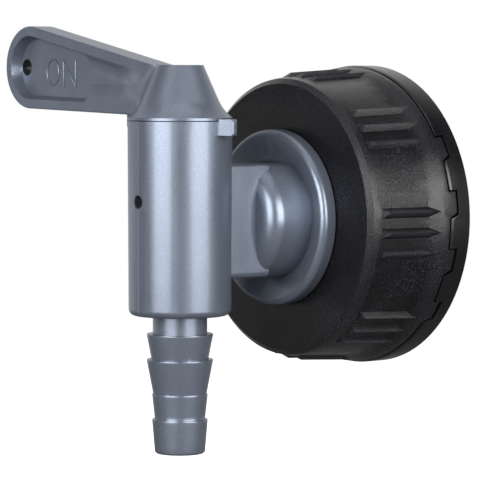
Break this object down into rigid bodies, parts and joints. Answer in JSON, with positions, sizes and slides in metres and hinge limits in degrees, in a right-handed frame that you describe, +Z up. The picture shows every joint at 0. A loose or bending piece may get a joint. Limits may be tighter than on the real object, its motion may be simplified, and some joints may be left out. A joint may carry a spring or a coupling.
{
  "type": "canister tap",
  "caption": "Plastic plug-valve tap with a lever, a hose tail and a screw cap with tamper ring for a canister's threaded neck.",
  "frame": {"origin": "centre of the sealing face inside the screw cap, on which the rim of the canister's neck lands", "axes": "+Y along the neck's axis towards the canister, +Z up along the valve's axis, lever towards -X when open"},
  "size_m": [0.1008, 0.0689, 0.0971],
  "materials": {
    "body_grey": "satin moulded plastic",
    "lever_grey": "satin moulded plastic",
    "cap_black": "fine-grained moulded plastic",
    "nut_black": "plain moulded plastic",
    "plug_natural": "smooth moulded plastic",
    "ring_white": "slippery plastic",
    "seal_rubber": "smooth rubber",
    "gasket_foam": "closed-cell sealing sheet",
    "screw_steel": "stainless"
  },
  "bodies": {
    "cap": {"screw_cap": "cap_black", "tamper_ring": "cap_black", "neck_gasket": "gasket_foam", "flange_gasket": "seal_rubber"},
    "tap": {"tap_body": "body_grey", "nut_washer": "seal_rubber", "lock_nut": "nut_black", "hose_barb": "body_grey", "nozzle_o_ring": "seal_rubber", "snap_ring": "ring_white"},
    "lever": {"valve_plug": "plug_natural", "upper_o_ring": "seal_rubber", "lower_o_ring": "seal_rubber", "port_seal": "seal_rubber", "thrust_washer": "ring_white", "lever_handle": "lever_grey", "lever_screw": "screw_steel"}
  },
  "joints": [
    {"name": "tap_swivel", "type": "hinge", "parent": "cap", "child": "tap", "pos_m": [0, 0, 0], "axis": [0, 1, 0], "continuous": true},
    {"name": "lever_turn", "type": "hinge", "parent": "tap", "child": "lever", "pos_m": [0, -0.0341, 0], "axis": [0, 0, 1], "range_deg": [0, 180]}
  ]
}
